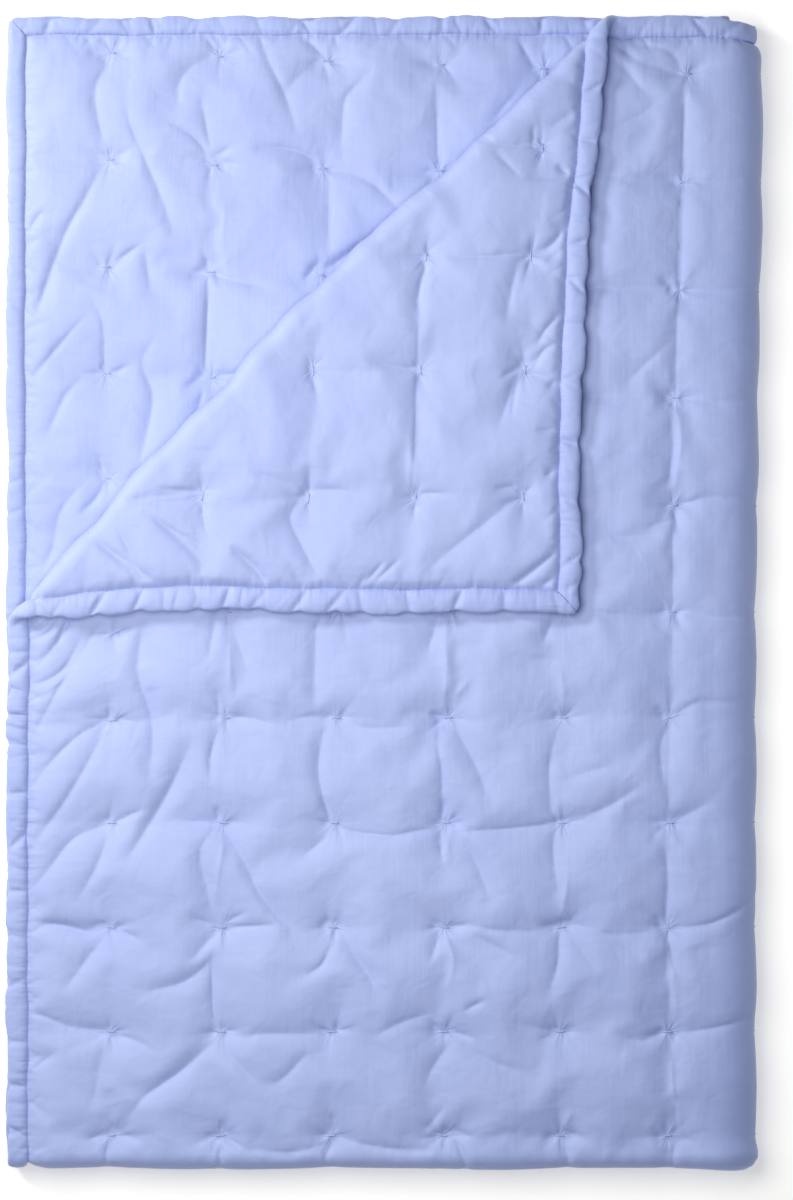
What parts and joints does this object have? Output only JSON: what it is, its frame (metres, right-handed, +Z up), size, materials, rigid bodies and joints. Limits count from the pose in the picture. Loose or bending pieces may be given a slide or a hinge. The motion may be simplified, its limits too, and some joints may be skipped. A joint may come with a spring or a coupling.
{
  "type": "tufted quilted bedspread",
  "caption": "Padded cotton bedspread with tack tufts and a bound edge, folded flat with the upper corner turned back.",
  "frame": {"origin": "under the middle of the folded bedspread, on the surface it lies on", "axes": "+Z up, +Y from the tight fold at the foot to the free ends of the layers, +X from the free sides to the fat fold"},
  "size_m": [0.699, 1.0699, 0.0684],
  "materials": {
    "cloth": "soft matte cotton with a slight sheen",
    "binding": "soft matte cotton with a slight sheen"
  },
  "bodies": {
    "root": {"quilt": "cloth", "binding_near_side": "binding", "binding_far_side": "binding", "binding_top_end": "binding", "binding_under_end": "binding"}
  },
  "joints": []
}
